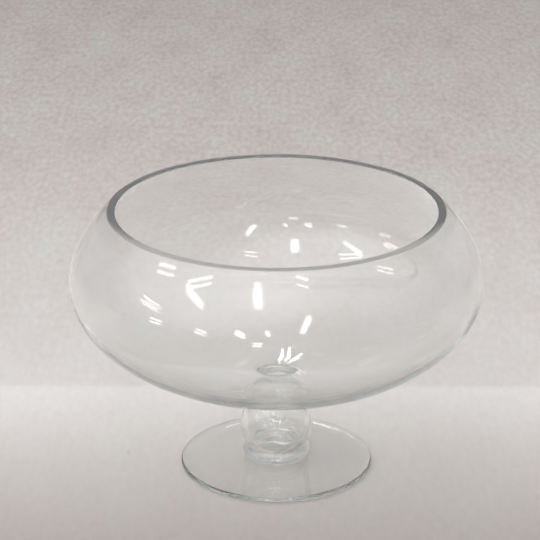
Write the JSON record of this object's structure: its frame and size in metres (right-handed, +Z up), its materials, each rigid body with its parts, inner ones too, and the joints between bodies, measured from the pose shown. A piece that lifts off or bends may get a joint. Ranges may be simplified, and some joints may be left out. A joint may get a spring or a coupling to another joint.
{
  "type": "floating candle bowl",
  "caption": "Clear glass pedestal bowl for floating candles: squat round bowl with a flat ground rim on a hollow ball stem with a collar ring and a round foot.",
  "frame": {"origin": "middle of the foot at table level, on the axis that every piece is turned about", "axes": "+Z up along the axis of the bowl; the bowl is the same all round, and -Y is the side that the picture shows"},
  "size_m": [0.3, 0.3, 0.2],
  "materials": {
    "clear_glass": "clear, fire polished"
  },
  "bodies": {
    "root": {"foot": "clear_glass", "collar_ring": "clear_glass", "ball_stem": "clear_glass", "neck": "clear_glass", "bowl": "clear_glass"}
  },
  "joints": []
}
